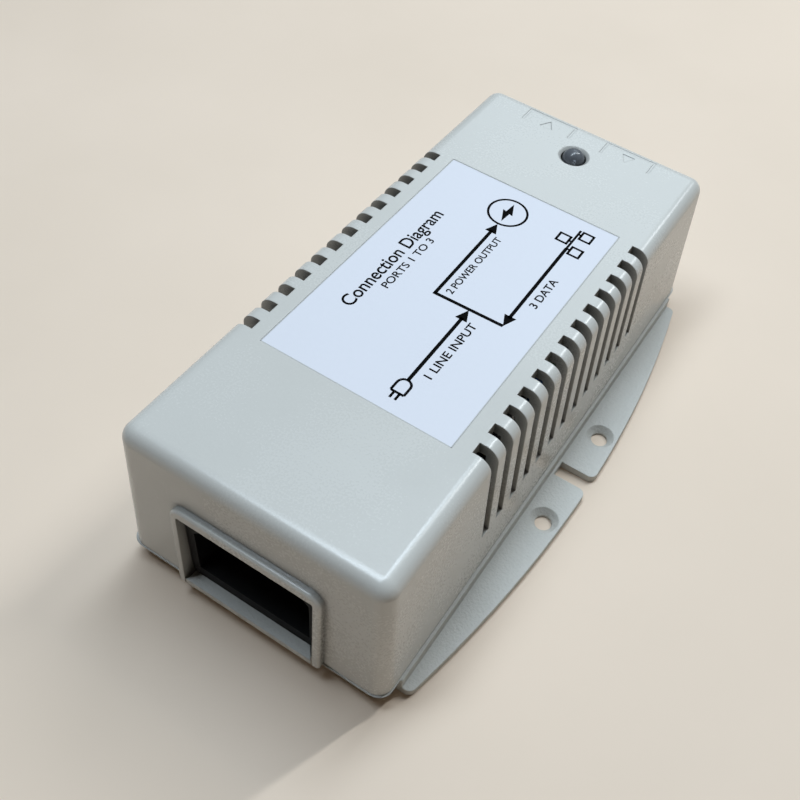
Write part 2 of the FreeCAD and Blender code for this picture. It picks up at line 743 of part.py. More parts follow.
def make_sheets():
    foot = "base_high + cover_high - label_sink"
    film = block("label_x", "label_y", foot, "label_wide", "label_long", "label_thick")
    finish(join(film), "product_label")
    board = block(0, 0, "board_low", "board_wide", "board_long", "board_thick")
    sheet_stock = block(0, 0, "wall_thick", "board_wide", "board_long", "sheet_thick")
    board_cuts, sheet_cuts = [], []
    for x, y in four_corners("(board_cut_x + board_wide) / 2", "(board_cut_y + board_long) / 2"):
        board_cuts.append(block(x, y, "0", "board_wide - board_cut_x", "board_long - board_cut_y",
                                "base_high * 2"))
    for x, y in four_corners("board_screw_x", "board_screw_y"):
        board_cuts.append(rod(x, y, "0", "board_hole", "base_high * 2"))
        sheet_cuts.append(block(x, y, "0", "sheet_hole * 2", "sheet_hole * 2", "base_high"))
    for x, y in four_corners("(board_cut_x + board_wide) / 2 - sheet_gap",
                             "(board_cut_y + board_long) / 2 - sheet_gap"):
        sheet_cuts.append(block(x, y, "0", "board_wide - board_cut_x", "board_long - board_cut_y",
                                "base_high"))
    finish(carve(board, *board_cuts), "main_pcb")
    finish(carve(sheet_stock, *sheet_cuts), "insulation_sheet")


# ---------------------------------------------------------------------------------------
# Mains inlet
# ---------------------------------------------------------------------------------------
def bevelled(sketch, half, low, top, bevel):
    """Rectangle with both upper corners cut off."""
    polygon(sketch, [
        ("-" + half, low),
        (half, low),
        (half, "%s - %s" % (top, bevel)),
        ("%s - %s" % (half, bevel), top),
        ("-%s + %s" % (half, bevel), top),
        ("-" + half, "%s - %s" % (top, bevel)),
    ])


def make_inlet():
    """Housing with its bevelled side up, and the three pins, earth nearest the bevels."""
    body = new_body("inlet")
    outline = sketch_on(body, "XZ_Plane", "-inlet_front")
    bevelled(outline, "inlet_half", "inlet_low", "inlet_top", "inlet_bevel")
    shell = pad(body, outline, "inlet_back - inlet_front", down=True)
    soften(body, shell, "well_round", lambda edge: abs(edge.Vertexes[0].Y - edge.Vertexes[-1].Y) > LONG_EDGE)
    well = sketch_on(body, "XZ_Plane", "-inlet_front")
    bevelled(well, "well_half", "well_low", "well_top", "well_bevel")
    pocket(body, well, "well_deep")
    slots = sketch_on(body, "XZ_Plane", "-inlet_front")
    for x, low in (("-pin_x", "pin_low"), ("pin_x", "pin_low"), ("0", "pin_low + pin_rise")):
        rectangle(slots, x + " - pin_thick / 2", low, x + " + pin_thick / 2", low + " + pin_high")
    pocket(body, slots, "inlet_back - inlet_front")
    finish(body, "inlet_housing")
    make_pin("inlet_line_pin", "pin_x", "pin_low", "pin_tip")
    make_pin("inlet_neutral_pin", "-pin_x", "pin_low", "pin_tip")
    make_pin("inlet_earth_pin", "0", "pin_low + pin_rise", "earth_tip")


def make_pin(label, x, low, tip):
    """Flat blade with a bevelled nose and a leg down to the board."""
    body = new_body(label)
    side = sketch_on(body, "YZ_Plane", x)
    high = low + " + pin_high"
    nose, back = "inlet_front + " + tip, "inlet_back + pin_tail"
    polygon(side, [
        (nose, low + " + pin_nose"),
        (nose + " + pin_nose", low),
        ("inlet_back + pin_leg_gap", low),
        ("inlet_back + pin_leg_gap", BOARD_TOP),
        (back, BOARD_TOP),
        (back, high),
        (nose + " + pin_nose", high),
        (nose, high + " - pin_nose"),
    ])
    pad(body, side, "pin_thick", middle=True)
    finish(body, label)


# ---------------------------------------------------------------------------------------
# Jacks: insulating insert, metal shield, fixed contact tails and sprung contact wires
# ---------------------------------------------------------------------------------------
def span_block(x, y_low, y_high, z_low, z_high, half):
    """Box given by its ends along Y and Z and by its half width across X."""
    wide = "(%s) * 2" % half
    return block(x, "((%s) + (%s)) / 2" % (y_low, y_high), z_low, wide,
                 "((%s) - (%s))" % (y_high, y_low), "((%s) - (%s))" % (z_high, z_low))


def wire_spots(x):
    """Positions across X of the contact wires of one jack."""
    count = int(value_of("wire_count"))
    return ["%s + (%s) * wire_pitch" % (x, number - (count - 1) / 2) for number in range(count)]


def make_jack(prefix, x):
    back = "(jack_front - jack_long)"
    wall = "(shield_thick + shield_gap)"
    body = span_block(x, back + " + " + wall, "jack_front - shield_gap", "jack_low", "jack_top - " + wall,
                      "jack_half - " + wall)
    past = "jack_front + wall_thick"
    insert = carve(
        body,
        span_block(x, "jack_front - port_deep", past, "port_low", "port_top", "port_half"),
        span_block(x, "jack_front - latch_deep", past, "port_low", "latch_top", "latch_half"),
        span_block(x, "jack_front - latch_deep", past, "port_low", "latch_tip_top", "latch_tip_half"),
        span_block(x, back, "jack_front - comb_front", "0", "port_low", "comb_half"),
    )
    finish(insert, prefix + "_jack_insert")
    shell = span_block(x, back, "jack_front", "jack_low", "jack_top", "jack_half")
    inside = span_block(x, back + " + shield_thick", past, "0", "jack_top - shield_thick",
                        "jack_half - shield_thick")
    finish(carve(shell, inside), prefix + "_jack_shield")
    make_contacts(prefix, x)


def make_contacts(prefix, x):
    hinge_y = "jack_front - hinge_back"
    half = "wire_wide / 2"
    rear = "jack_front - tail_back"
    tails, springs = [], []
    for spot in wire_spots(x):
        riser_low = "%s + tail_gap / 2" % hinge_y
        riser_high = "%s + tail_gap / 2 + wire_thick" % hinge_y
        tails.append(join(
            span_block(spot, rear, riser_high, "tail_high", "tail_high + wire_thick", half),
            span_block(spot, riser_low, riser_high, "tail_high", "hinge_high - wire_thick - tail_gap", half),
            span_block(spot, rear, rear + " + wire_thick", BOARD_TOP, "tail_high + wire_thick", half),
        ))
        wire = doc.addObject("Part::Box", "wire")
        bind(wire, "Length", "wire_wide")
        bind(wire, "Width", "spring_long")
        bind(wire, "Height", "wire_thick")
        lean = Rotation(Vector(1, 0, 0), value_of("180 - spring_lean"))
        place(wire, spot + " - wire_wide / 2", hinge_y, "hinge_high", lean)
        bind(wire, "Placement.Rotation.Angle", "180 - spring_lean")
        springs.append(wire)
    finish(join(*tails), prefix + "_contact_tails")
    finish(join(*springs), prefix + "_contact_springs")


# ---------------------------------------------------------------------------------------
# Lamp
# ---------------------------------------------------------------------------------------
def make_lamp():
    dome = doc.addObject("Part::Sphere", "dome")
    bind(dome, "Radius", "lens_round")
    place(dome, 0, "lamp_y", "lens_top - lens_round")
    stem = rod(0, "lamp_y", "lens_low", "lens_round", "lens_top - lens_round - lens_low")
    flange = rod(0, "lamp_y", "lens_low", "lens_flange", "lens_flange_high")
    finish(join(dome, stem, flange), "led_lens")
    leads, holes = [], []
    for x in ("lead_half", "-lead_half"):
        leads.append(block(x, "lamp_y", BOARD_TOP, "lead_wide", "lead_wide", "lens_low - " + BOARD_TOP))
        holes.append(rod(x, "lamp_y", "spacer_low", "spacer_bore", "lens_low - spacer_low"))
    finish(join(*leads), "led_leads")
    spacer = rod(0, "lamp_y", "spacer_low", "spacer_round", "lens_low - spacer_low")
    finish(carve(spacer, *holes), "led_spacer")


# ---------------------------------------------------------------------------------------
# Electronics on the board
# ---------------------------------------------------------------------------------------
def legs(x, y, high, pitch, count, along_y=False):
    """Row of square component legs standing on the board."""
    row = []
    for number in range(count):
        step = "(%s) * %s" % (number - (count - 1) / 2, pitch)
        at_x = x if along_y else "%s + %s" % (x, step)
        at_y = "%s + %s" % (y, step) if along_y else y
        row.append(block(at_x, at_y, BOARD_TOP, "leg_wide", "leg_wide", high))
    return row


def upright_disc(label, x, y, radius, along_y=False):
    """Disc component standing on two legs, its faces square to Y, or to X when along_y is set."""
    foot = "%s + disc_lift + %s" % (BOARD_TOP, radius)
    if along_y:
        disc = rod("%s - disc_thick / 2" % x, y, foot, radius, "disc_thick", ALONG_X)
    else:
        disc = rod(x, "%s - disc_thick / 2" % y, foot, radius, "disc_thick", ALONG_Y)
    finish(join(disc, *legs(x, y, "disc_lift + " + radius, radius, 2, along_y)), label)


def can(x, y, radius, high):
    """Capacitor can with a rolled groove near its foot."""
    stock = rod(x, y, BOARD_TOP, radius, high)
    foot = BOARD_TOP + " + can_groove_low"
    ring = carve(rod(x, y, foot, radius + " * 2", "can_groove_high"),
                 rod(x, y, foot, radius + " - can_groove", "can_groove_high"))
    return carve(stock, ring)


def make_mains_side():
    finish(join(block("fuse_x", "fuse_y", BOARD_TOP, "fuse_wide", "fuse_wide", "fuse_high")), "fuse")
    upright_disc("varistor", "varistor_x", "varistor_y", "varistor_round")
    upright_disc("thermistor", "thermistor_x", "thermistor_y", "thermistor_round")
    x_capacitor = block("x_cap_x", "x_cap_y", BOARD_TOP, "x_cap_wide", "x_cap_deep", "x_cap_high")
    finish(join(x_capacitor), "x_capacitor")
    bridge = block("bridge_x", "bridge_y", BOARD_TOP + " + bridge_lift", "bridge_wide", "bridge_deep",
                   "bridge_high")
    bridge_legs = legs("bridge_x", "bridge_y", "bridge_lift * 2", "bridge_pitch", 4)
    finish(join(bridge, *bridge_legs), "bridge_rectifier")
    finish(can("bulk_x", "bulk_y", "bulk_round", "bulk_high"), "bulk_capacitor")
    make_choke()


def make_choke():
    """Frame core with a coil on each upright limb."""
    foot = BOARD_TOP + " + choke_lift"
    bar = foot + " + choke_limb"
    window = "choke_high - choke_limb * 2"
    core = carve(
        block("choke_x", "choke_y", foot, "choke_wide", "choke_deep", "choke_high"),
        block("choke_x", "choke_y", bar, "choke_wide - choke_limb * 2", "choke_deep * 2", window),
    )
    finish(core, "line_choke_core")
    coils = []
    for side in ("(choke_wide - choke_limb) / 2", "(choke_limb - choke_wide) / 2"):
        middle = "choke_x + " + side
        coil = carve(
            block(middle, "choke_y", bar, "choke_limb + coil_swell * 2", "choke_deep + coil_swell * 2",
                  window),
            block(middle, "choke_y", bar, "choke_limb + coil_fit * 2", "choke_deep + coil_fit * 2", window),
        )
        ends = [block(middle, "choke_y + " + end, BOARD_TOP, "leg_wide", "leg_wide",
                      "choke_lift + choke_limb + leg_wide")
                for end in ("(choke_deep + coil_swell) / 2", "(-choke_deep - coil_swell) / 2")]
        coils.append(join(coil, *ends))
    finish(join(*coils), "line_choke_windings")


def make_power_package(label, y):
    """Three legged power package whose metal tab lies against a heatsink."""
    face = "fin_x + fin_thick / 2"
    tab_x = face + " + tab_thick / 2"
    tab = block(tab_x, y, "tab_low", "tab_thick", "tab_wide", "tab_high")
    body_x = "%s + tab_thick + (chip_thick - tab_thick) / 2" % face
    chip = block(body_x, y, "tab_low", "chip_thick - tab_thick", "tab_wide", "chip_high")
    hole_z = "tab_low + tab_high - tab_hole_drop"
    hole = rod(face, y, hole_z, "tab_hole", "chip_thick", ALONG_X)
    package_legs = legs(body_x, y, "tab_low - %s + leg_wide" % BOARD_TOP, "leg_pitch", 3, True)
    finish(carve(join(tab, chip, *package_legs), hole), label)


def make_heatsink(label, y, long, high):
    plate = block("fin_x", y, "fin_low", "fin_thick", long, high)
    fold_x = "fin_x - fin_thick / 2 + fin_fold / 2"
    fold_y = "%s - %s / 2 + fin_thick / 2" % (y, long)
    fold = block(fold_x, fold_y, "fin_low", "fin_fold", "fin_thick", high)
    feet = [block("fin_x", "%s + %s * %s / 3" % (y, sign, long), BOARD_TOP, "fin_thick", "fin_thick",
                  "fin_low - %s + leg_wide" % BOARD_TOP) for sign in ("1", "-1")]
    hole_z = "tab_low + tab_high - tab_hole_drop"
    hole = rod("fin_x - fin_thick", y, hole_z, "tab_hole", "fin_thick * 2", ALONG_X)
    finish(carve(join(plate, fold, *feet), hole), label)


def make_heatsink_screws():
    screws = []
    hole_z = "tab_low + tab_high - tab_hole_drop"
    for y in ("fin_a_y", "fin_b_y"):
        stem = rod("fin_x - fin_thick", y, hole_z, "boss_bore", "fin_thick * 2 + tab_thick", ALONG_X)
        head = rod("fin_x + fin_thick / 2 + tab_thick", y, hole_z, "screw_head_round", "small_head_high",
                   ALONG_X)
        screws.append(join(stem, head))
    finish(join(*screws), "heatsink_screws")


def make_transformer():
    """E core around a bobbin that carries the windings."""
    foot = BOARD_TOP + " + core_lift"
    window_low = foot + " + core_bar"
    window_high = "core_high - core_bar * 2"
    windows = []
    for side in ("1", "-1"):
        middle = "core_x + %s * (core_post + core_wide / 2 - core_limb) / 2" % side
        windows.append(block(middle, "core_y", window_low, "core_wide / 2 - core_limb - core_post",
                             "core_deep * 2", window_high))
    core = block("core_x", "core_y", foot, "core_wide", "core_deep", "core_high")
    finish(carve(core, *windows), "transformer_core")

    cheek_wide = "core_wide - core_limb * 2 - bobbin_gap * 2"
    tube_wide = "core_post * 2 + bobbin_gap * 2 + bobbin_wall * 2"
    tube_deep = "core_deep + bobbin_gap * 2 + bobbin_wall * 2"
    cheek_low = window_low + " + bobbin_gap"
    cheek_high = "%s + %s - bobbin_gap - bobbin_wall" % (window_low, window_high)
    cheeks = [block("core_x", "core_y", z, cheek_wide, "bobbin_deep", "bobbin_wall")
              for z in (cheek_low, cheek_high)]
    tube = block("core_x", "core_y", cheek_low, tube_wide, tube_deep, "%s - bobbin_gap * 2" % window_high)
    foot_deep = "(bobbin_deep / 2 - core_deep / 2 - bobbin_gap * 2)"
    feet = [block("core_x", "core_y + %s * (bobbin_deep - %s) / 2" % (sign, foot_deep), BOARD_TOP,
                  cheek_wide, foot_deep, "core_lift + core_bar + bobbin_gap * 2") for sign in ("1", "-1")]
    post_hole = block("core_x", "core_y", BOARD_TOP, "core_post * 2 + bobbin_gap", "core_deep + bobbin_gap",
                      "core_lift + core_high * 2")
    finish(carve(join(tube, *cheeks, *feet), post_hole), "transformer_bobbin")

    coil_low = cheek_low + " + bobbin_wall + bobbin_gap / 2"
    coil_high = "%s - bobbin_gap * 3 - bobbin_wall * 2" % window_high
    coil = carve(
        block("core_x", "core_y", coil_low, tube_wide + " + winding_swell * 2",
              tube_deep + " + winding_deep", coil_high),
        block("core_x", "core_y", coil_low, tube_wide + " + bobbin_gap / 2",
              tube_deep + " + bobbin_gap / 2", coil_high),
    )
    finish(coil, "transformer_winding")


def make_dip(label, x, y, long, leg_count):
    """Moulded chip with legs down both long sides."""
    pieces = [block(x, y, BOARD_TOP + " + dip_lift", "opto_wide", long, "dip_high")]
    for side in ("1", "-1"):
        outer = "%s + %s * (opto_wide / 2 + dip_leg_out / 2)" % (x, side)
        for number in range(leg_count):
            at_y = "%s + (%s) * leg_pitch" % (y, number - (leg_count - 1) / 2)
            pieces.append(block(outer, at_y, BOARD_TOP, "dip_leg_out", "leg_wide", "dip_lift + dip_high / 2"))
    finish(join(*pieces), label)


def make_output_side():
    cans = [can(x, "out_cap_y", "out_cap_round", "out_cap_high")
            for x in ("out_cap_x", "out_cap_x + out_cap_step")]
    finish(join(*cans), "output_capacitors")
    drum = join(
        rod("drum_x", "drum_y", BOARD_TOP, "drum_round", "drum_flange"),
        rod("drum_x", "drum_y", BOARD_TOP, "drum_neck", "drum_high"),
        rod("drum_x", "drum_y", BOARD_TOP + " + drum_high - drum_flange", "drum_round", "drum_flange"),
    )
    coil = carve(
        rod("drum_x", "drum_y", BOARD_TOP + " + drum_flange + coil_fit", "drum_round - can_groove",
            "drum_high - drum_flange * 2 - coil_fit * 2"),
        rod("drum_x", "drum_y", BOARD_TOP, "drum_neck + coil_fit", "drum_high"),
    )
    finish(drum, "output_choke_core")
    finish(coil, "output_choke_winding")
    pieces = [block("pulse_x", "pulse_y", BOARD_TOP + " + dip_lift / 2", "pulse_wide", "pulse_deep",
                    "pulse_high")]
    count = int(value_of("pulse_legs"))
    for side in ("1", "-1"):
        for number in range(count):
            at_x = "pulse_x + (%s) * pulse_pitch" % (number - (count - 1) / 2)
            at_y = "pulse_y + %s * (pulse_deep / 2 + dip_leg_out / 2)" % side
            pieces.append(block(at_x, at_y, BOARD_TOP, "wire_wide", "dip_leg_out", "dip_lift + dip_leg_out"))
    finish(join(*pieces), "data_transformer")


# ---------------------------------------------------------------------------------------
# Build, check and export
# ---------------------------------------------------------------------------------------
make_cover()
make_base()
make_screws("case_screws", "boss_x", "boss_y", "screw_sink_deep - screw_head_high", "screw_head_round",
            "screw_head_high", "screw_shank", "screw_long", True)
make_screws("pcb_screws", "board_screw_x", "board_screw_y", BOARD_TOP, "small_head_round",
            "small_head_high", "small_shank", "small_long", False)
make_sheets()
make_inlet()
make_jack("data_in", "port_x")
make_jack("power_out", "-port_x")
make_lamp()
make_mains_side()
make_power_package("switch_transistor", "fin_a_y")
make_heatsink("primary_heatsink", "fin_a_y", "fin_a_long", "fin_high")
make_power_package("output_rectifier", "fin_b_y")
make_heatsink("output_heatsink", "fin_b_y", "fin_b_long", "fin_b_high + fin_fold")
make_heatsink_screws()
make_transformer()
upright_disc("y_capacitor", "y_cap_x", "y_cap_y", "y_cap_round", True)
make_dip("optocoupler", "opto_x", "opto_y", "opto_long", 2)
make_dip("controller_chip", "ctrl_x", "ctrl_y", "ctrl_long", 4)
make_output_side()

doc.recompute()
failed = ["%s (%s)" % (thing.Label, thing.TypeId) for thing in doc.Objects
          if "Invalid" in thing.State or "Error" in thing.State]
if failed:
    raise RuntimeError("did not recompute: " + ", ".join(failed))
for thing in finished:
    if thing.Shape.isNull() or not thing.Shape.isValid() or not thing.Shape.Solids:
        raise RuntimeError("%s has no valid solid" % thing.Label)
for thing in finished:
    thing.Shape.exportStep("%s/%s.step" % (OUT_DIR, thing.Label))
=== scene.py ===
"""Looks, light and camera for the power injector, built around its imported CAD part."""

import json
import math

import bmesh
import bpy
from mathutils import Matrix, Vector


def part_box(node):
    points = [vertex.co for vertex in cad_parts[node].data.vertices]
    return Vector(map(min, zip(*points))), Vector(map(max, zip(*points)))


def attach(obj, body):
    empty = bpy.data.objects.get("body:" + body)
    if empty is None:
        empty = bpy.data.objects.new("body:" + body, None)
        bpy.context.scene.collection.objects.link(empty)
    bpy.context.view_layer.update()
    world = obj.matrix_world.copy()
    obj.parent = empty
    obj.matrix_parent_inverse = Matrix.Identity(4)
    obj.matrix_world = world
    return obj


MM = 0.001
FINE_SHARE = 0.35               # share of the fine grain in a surface's tone, the rest is broad marks
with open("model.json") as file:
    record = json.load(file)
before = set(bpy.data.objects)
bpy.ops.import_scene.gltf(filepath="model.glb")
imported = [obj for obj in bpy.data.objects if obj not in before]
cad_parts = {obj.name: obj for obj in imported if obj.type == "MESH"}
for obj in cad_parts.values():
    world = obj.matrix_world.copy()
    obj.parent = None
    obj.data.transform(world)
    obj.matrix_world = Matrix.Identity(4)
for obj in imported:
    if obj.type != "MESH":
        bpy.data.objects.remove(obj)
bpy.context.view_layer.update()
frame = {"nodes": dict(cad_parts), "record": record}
nodes = frame["nodes"]


# ---------------------------------------------------------------------------------------
# Procedural materials
# ---------------------------------------------------------------------------------------
def new_material(name):
    """Empty node tree with its output and shader already joined."""
    material = bpy.data.materials.new(name)
    material.use_nodes = True
    tree = material.node_tree
    tree.nodes.clear()
    output = tree.nodes.new("ShaderNodeOutputMaterial")
    shader = tree.nodes.new("ShaderNodeBsdfPrincipled")
    tree.links.new(shader.outputs["BSDF"], output.inputs["Surface"])
    return material, tree, shader


def add_noise(tree, scale, detail, stretch=None):
    """Noise in object space; scale is features per metre, stretch scales each axis."""
    noise = tree.nodes.new("ShaderNodeTexNoise")
    noise.inputs["Scale"].default_value = scale
    noise.inputs["Detail"].default_value = detail
    coordinates = tree.nodes.new("ShaderNodeTexCoord").outputs["Object"]
    if stretch is not None:
        mapping = tree.nodes.new("ShaderNodeMapping")
        mapping.inputs["Scale"].default_value = stretch
        tree.links.new(coordinates, mapping.inputs["Vector"])
        coordinates = mapping.outputs["Vector"]
    tree.links.new(coordinates, noise.inputs["Vector"])
    return noise


def add_ramp(tree, source, low, high, start=0.3, end=0.7):
    """Map a 0 to 1 value onto a range between two grey levels or colours."""
    ramp = tree.nodes.new("ShaderNodeValToRGB")
    first, last = ramp.color_ramp.elements
    first.position, last.position = start, end
    first.color, last.color = low, high
    tree.links.new(source, ramp.inputs["Fac"])
    return ramp.outputs["Color"]


def grey(level):
    """Grey as a colour with full alpha."""
    return (level, level, level, 1.0)


def tinted(colour, factor):
    """Colour made lighter or darker by a factor, with full alpha."""
    return tuple(min(1.0, channel * factor) for channel in colour) + (1.0,)


def paint_hollow_shade(tree, tone, reach, darkest):
    """Painted shade: darken a colour by ambient occlusion inside slots and recesses, within reach millimetres
    of facing walls.
    """
    hollow = tree.nodes.new("ShaderNodeAmbientOcclusion")
    hollow.samples = 8
    hollow.inputs["Distance"].default_value = reach * MM
    shade = add_ramp(tree, hollow.outputs["AO"], grey(darkest), grey(1.0), start=0.35, end=0.85)
    blend = tree.nodes.new("ShaderNodeMix")
    blend.data_type = "RGBA"
    blend.blend_type = "MULTIPLY"
    blend.inputs["Factor"].default_value = 1.0
    first, second = [socket for socket in blend.inputs if socket.type == "RGBA"]
    tree.links.new(tone, first)
    tree.links.new(shade, second)
    return next(socket for socket in blend.outputs if socket.type == "RGBA")


def surface(name, colour, rough, metal=0.0, grain=900.0, grain_depth=0.03, wear=60.0, shade=0.06,
            rough_spread=0.08, edge=0.0, stretch=None, coat=0.0, transmission=0.0, specular=0.5,
            painted_shade_reach=0.0, painted_shade_darkest=1.0):
    """Material whose tone, gloss and relief all vary: broad handling marks plus fine grain, and painted shade
    in hollows where asked.

    grain and wear are features per metre; grain_depth, edge and the reach of the painted hollow shade are
    millimetres.
    """
    material, tree, shader = new_material(name)
    broad = add_noise(tree, wear, 3.0)
    fine = add_noise(tree, grain, 4.0, stretch)
    mixed = tree.nodes.new("ShaderNodeMath")
    mixed.operation = "MULTIPLY_ADD"
    mixed.inputs[1].default_value = FINE_SHARE
    tree.links.new(fine.outputs["Fac"], mixed.inputs[0])
    scaled = tree.nodes.new("ShaderNodeMath")
    scaled.operation = "MULTIPLY"
    scaled.inputs[1].default_value = 1 - FINE_SHARE
    tree.links.new(broad.outputs["Fac"], scaled.inputs[0])
    tree.links.new(scaled.outputs["Value"], mixed.inputs[2])
    tone = add_ramp(tree, mixed.outputs["Value"], tinted(colour, 1 - shade), tinted(colour, 1 + shade))
    # painted shade: the base colour is darkened inside slots and recesses
    if painted_shade_reach > 0:
        tone = paint_hollow_shade(tree, tone, painted_shade_reach, painted_shade_darkest)
    tree.links.new(tone, shader.inputs["Base Color"])
    gloss = add_ramp(tree, mixed.outputs["Value"], grey(max(0.02, rough - rough_spread)),
                     grey(min(1.0, rough + rough_spread)))
    tree.links.new(gloss, shader.inputs["Roughness"])
    bump = tree.nodes.new("ShaderNodeBump")
    bump.inputs["Strength"].default_value = 1.0
    bump.inputs["Distance"].default_value = grain_depth * MM
    tree.links.new(fine.outputs["Fac"], bump.inputs["Height"])
    if edge > 0:
        soft_edge = tree.nodes.new("ShaderNodeBevel")
        soft_edge.samples = 6
        soft_edge.inputs["Radius"].default_value = edge * MM
        tree.links.new(soft_edge.outputs["Normal"], bump.inputs["Normal"])
    tree.links.new(bump.outputs["Normal"], shader.inputs["Normal"])
    shader.inputs["Metallic"].default_value = metal
    shader.inputs["Coat Weight"].default_value = coat
    shader.inputs["Transmission Weight"].default_value = transmission
    shader.inputs["Specular IOR Level"].default_value = specular
    return material


# Colour, gloss and relief of every material slot in the part's record
LOOKS = {
    # the cover's colour carries painted shade inside its vent slots, mouth and other recesses
    "cover_plastic": dict(colour=(0.555, 0.55, 0.525), rough=0.26, grain=2300.0, grain_depth=0.011, wear=35.0,
                          shade=0.035, rough_spread=0.06, edge=0.35, specular=0.45, painted_shade_reach=5.0,
                          painted_shade_darkest=0.25),
    "base_plastic": dict(colour=(0.52, 0.52, 0.495), rough=0.5, grain=1900.0, grain_depth=0.15, wear=45.0,
                         shade=0.09, edge=0.3, specular=0.4),
    "label_film": dict(colour=(0.66, 0.67, 0.73), rough=0.52, grain_depth=0.003, wear=25.0, shade=0.015,
                       rough_spread=0.04, specular=0.35),
    "black_plastic": dict(colour=(0.006, 0.006, 0.0065), rough=0.5, grain=1600.0, shade=0.25,
                          rough_spread=0.1, edge=0.2, specular=0.12),
    "lens_plastic": dict(colour=(0.17, 0.18, 0.20), rough=0.24, grain=700.0, grain_depth=0.004, shade=0.15,
                         rough_spread=0.05, transmission=0.35, specular=0.35),
    "plated_brass": dict(colour=(0.72, 0.70, 0.66), rough=0.25, metal=1.0, grain_depth=0.01,
                         stretch=(1.0, 0.1, 1.0), edge=0.15),
    "contact_alloy": dict(colour=(0.83, 0.62, 0.26), rough=0.22, metal=1.0, grain=1200.0, grain_depth=0.004,
                          stretch=(1.0, 0.15, 1.0)),
    "tinned_steel": dict(colour=(0.68, 0.69, 0.70), rough=0.3, metal=1.0, grain=1200.0, grain_depth=0.005),
    "shield_steel": dict(colour=(0.60, 0.61, 0.62), rough=0.27, metal=1.0, grain=700.0, grain_depth=0.006,
                         stretch=(1.0, 0.08, 1.0), edge=0.12),
    "zinc_steel": dict(colour=(0.55, 0.56, 0.58), rough=0.33, metal=1.0, grain=1100.0, grain_depth=0.012,
                       edge=0.15),
    "board_laminate": dict(colour=(0.03, 0.16, 0.06), rough=0.35, grain=1300.0, grain_depth=0.012, shade=0.15,
                           coat=0.3),
    "fish_paper": dict(colour=(0.42, 0.37, 0.25), rough=0.75, grain=1400.0, shade=0.12),
    "sleeve_black": dict(colour=(0.012, 0.013, 0.02), rough=0.24, grain=500.0, grain_depth=0.012, shade=0.2,
                         coat=0.3),
    "blue_epoxy": dict(colour=(0.03, 0.12, 0.42), rough=0.22, grain=350.0, grain_depth=0.05, shade=0.15,
                       coat=0.3),
    "green_epoxy": dict(colour=(0.03, 0.17, 0.06), rough=0.26, grain=350.0, grain_depth=0.05, shade=0.15,
                        coat=0.2),
    "yellow_box": dict(colour=(0.70, 0.47, 0.06), rough=0.4, grain_depth=0.02, shade=0.08, edge=0.3),
    "ferrite": dict(colour=(0.045, 0.045, 0.05), rough=0.55, grain=1500.0, grain_depth=0.05, shade=0.2,
                    edge=0.3),
    "copper_wire": dict(colour=(0.50, 0.17, 0.06), rough=0.28, metal=0.9, grain=2200.0, grain_depth=0.12,
                        stretch=(0.12, 0.12, 1.0), shade=0.15),
    "winding_tape": dict(colour=(0.75, 0.52, 0.06), rough=0.3, grain=1100.0, stretch=(0.1, 0.1, 1.0),
                         shade=0.08, coat=0.2),
    "bobbin_plastic": dict(colour=(0.02, 0.018, 0.016), rough=0.45, grain=1300.0, shade=0.2, edge=0.2),
    "heatsink_metal": dict(colour=(0.66, 0.67, 0.68), rough=0.34, metal=1.0, grain=800.0, grain_depth=0.015,
                           stretch=(1.0, 1.0, 0.06), edge=0.15),
}
finishes = {slot: surface(slot, **look) for slot, look in LOOKS.items()}
clear_film = surface("label_clear_film", (0.47, 0.475, 0.475), 0.4, grain_depth=0.003, shade=0.05,
                     specular=0.35)
ink = surface("label_ink", (0.003, 0.003, 0.003), 0.7, grain_depth=0.003, shade=0.3, specular=0.03)


def dress_cad():
    """Give every CAD node the finish of its material slot."""
    for entry in frame["record"]["subparts"]:
        node = nodes[entry["node"]]
        node.data.materials.clear()
        node.data.materials.append(finishes[entry["material_slot"]])


dress_cad()


def add_piece(name, shape, finish):
    """Turn a finished bmesh into a piece that rides on the case."""
    bmesh.ops.recalc_face_normals(shape, faces=shape.faces)
    mesh = bpy.data.meshes.new(name)
    shape.to_mesh(mesh)
    shape.free()
    mesh.materials.append(finish)
    piece = bpy.data.objects.new(name, mesh)
    bpy.context.collection.objects.link(piece)
    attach(piece, "case")


# ---------------------------------------------------------------------------------------
# Label artwork: thin inked shapes lying on the film
# ---------------------------------------------------------------------------------------
label_low, label_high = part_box("product_label")
LABEL_MIDDLE = Vector(((label_low.x + label_high.x) / 2, (label_low.y + label_high.y) / 2, label_high.z))
INK_HIGH = 0.02 * MM

# Sizes and places on the label, in millimetres from its middle
LINE = 0.72
THIN = 0.5
MARGIN = 0.17
PLUG = (6.1, -27.7)             # middle of the plug's flat side
PLUG_HALF = 1.35
PLUG_STRAIGHT = 2.0             # from the flat side to where the nose begins to round
PRONG_LONG = 1.6
PRONG_OUT = 0.55
PLUG_TO_LINE = 3.4              # from the flat side to the start of the mains line
BUS_LEFT = (-1.6, -3.7)
BUS_RIGHT = (13.0, -3.3)
MAINS_TIP = (5.9, -3.7)
POWER_TIP = (-1.9, 20.2)
ROUND_MARK = (-2.0, 24.5)
ROUND_RADIUS = 4.3
BOLT_HALF = ((0.2, -3.0), (0.5, -0.1), (-1.3, 0.4))     # the other half is this one turned half round
NET_TOP = (12.7, 29.0)
HEAD_LONG = 2.9
HEAD_HALF = 1.25
HEAD_BARE = 0.8                 # share of the head's length that its line stays out of
BOX_SIDE = 2.35
BOXES = ((10.8, 24.9), (14.6, 27.7), (14.7, 22.5))


def on_label(x, y):
    """Point on the film, in millimetres from the label's middle."""
    return Vector((LABEL_MIDDLE.x + x * MM, LABEL_MIDDLE.y + y * MM, LABEL_MIDDLE.z))


